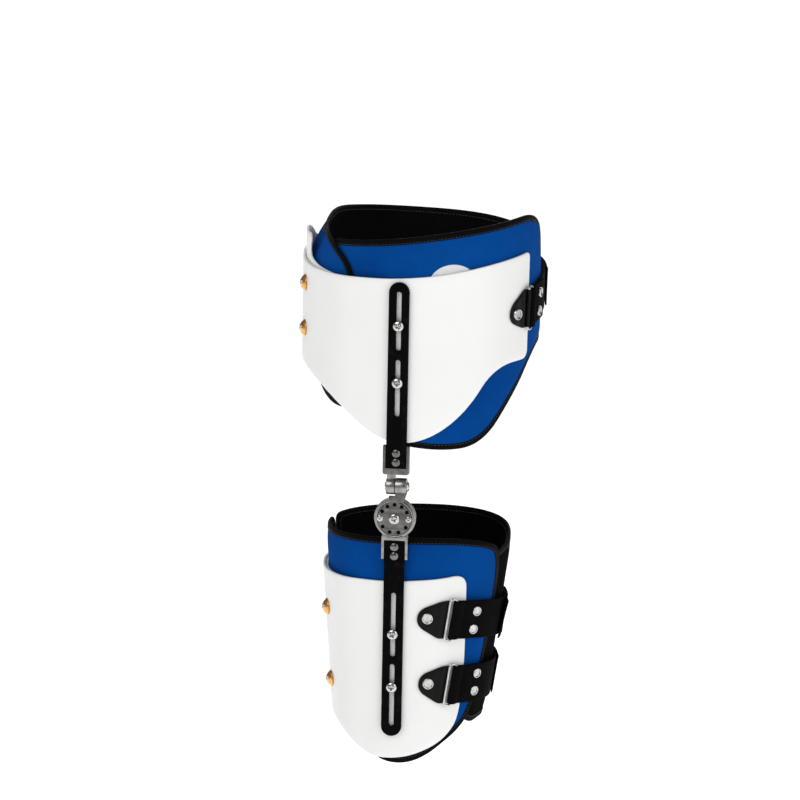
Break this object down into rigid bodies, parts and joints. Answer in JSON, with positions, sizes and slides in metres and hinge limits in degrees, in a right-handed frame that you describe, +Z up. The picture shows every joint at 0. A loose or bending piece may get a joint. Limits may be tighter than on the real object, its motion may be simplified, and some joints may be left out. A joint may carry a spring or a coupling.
{
  "type": "hip brace",
  "caption": "Right hip brace: a rigid padded pelvic wrap and thigh cuff joined by a slotted side bar with an abduction knuckle and a dial hinge, closed in front by straps.",
  "frame": {"origin": "middle of the wearer's pelvis inside the wrap, half way between the two back screws", "axes": "+Z up along the side bar; -Y out through the dial's face on the wearer's right; +X to the front, 8 degrees off the way the wearer faces"},
  "size_m": [0.2731, 0.3378, 0.5961],
  "materials": {
    "white_plastic": "satin moulded sheet",
    "blue_fabric": "knitted cover",
    "black_tape": "ribbed edge binding",
    "black_webbing": "hook and loop strap",
    "black_leather": "polished",
    "black_metal": "black coated",
    "steel": "bead blasted",
    "bright_steel": "nickel plated",
    "copper": "plated"
  },
  "bodies": {
    "pelvis": {"pelvic_shell": "white_plastic", "pelvic_shell_far": "white_plastic", "pelvic_pad": "blue_fabric", "pelvic_pad_far": "blue_fabric", "pelvic_binding": "black_tape", "pelvic_binding_far": "black_tape", "pelvic_cup_1": "copper", "pelvic_cup_2": "copper", "pelvic_back_screw_1": "bright_steel", "pelvic_back_screw_2": "bright_steel", "upper_bar_screw_1": "bright_steel", "upper_bar_screw_2": "bright_steel", "pelvic_tab": "black_leather", "pelvic_tab_rivet": "bright_steel", "pelvic_ring": "bright_steel", "pelvic_strap": "black_webbing", "pelvic_strap_rivet_1": "bright_steel", "pelvic_strap_rivet_2": "bright_steel", "pelvic_far_loop": "black_metal"},
    "upper_bar": {"upper_bar": "black_metal", "upper_bracket": "steel", "upper_rivet_1": "bright_steel", "upper_rivet_2": "bright_steel", "hinge_pin": "bright_steel"},
    "dial": {"dial_head": "steel", "dial_screw": "bright_steel", "stop_screw_1": "bright_steel", "stop_screw_2": "bright_steel"},
    "lower_bar": {"lower_bracket": "steel", "lower_rivet_1": "bright_steel", "lower_rivet_2": "bright_steel", "lower_bar": "black_metal"},
    "thigh": {"thigh_shell": "white_plastic", "thigh_shell_inner": "white_plastic", "thigh_pad": "blue_fabric", "thigh_pad_inner": "blue_fabric", "thigh_binding": "black_tape", "thigh_binding_inner": "black_tape", "thigh_cup_1": "copper", "thigh_cup_2": "copper", "thigh_back_screw_1": "bright_steel", "thigh_back_screw_2": "bright_steel", "lower_bar_screw_1": "bright_steel", "lower_bar_screw_2": "bright_steel", "thigh_tab_1": "black_leather", "thigh_tab_rivet_1": "bright_steel", "thigh_ring_1": "bright_steel", "thigh_strap_1": "black_webbing", "thigh_strap_rivet_1_1": "bright_steel", "thigh_strap_rivet_1_2": "bright_steel", "thigh_far_loop_1": "black_metal", "thigh_tab_2": "black_leather", "thigh_tab_rivet_2": "bright_steel", "thigh_ring_2": "bright_steel", "thigh_strap_2": "black_webbing", "thigh_strap_rivet_2_1": "bright_steel", "thigh_strap_rivet_2_2": "bright_steel", "thigh_far_loop_2": "black_metal"}
  },
  "joints": [
    {"name": "upper_length", "type": "slide", "parent": "pelvis", "child": "upper_bar", "axis": [0, 0, 1], "range_m": [-0.022, 0.002]},
    {"name": "abduction", "type": "hinge", "parent": "upper_bar", "child": "dial", "pos_m": [-0.00471, -0.16635, -0.175], "axis": [-1, 0, 0], "range_deg": [-5, 25]},
    {"name": "flexion", "type": "hinge", "parent": "dial", "child": "lower_bar", "pos_m": [-0.00471, -0.16735, -0.21], "axis": [0, -1, 0], "range_deg": [-15, 60]},
    {"name": "lower_length", "type": "slide", "parent": "lower_bar", "child": "thigh", "axis": [0, 0, 1], "range_m": [-0.02, 0.022]}
  ]
}
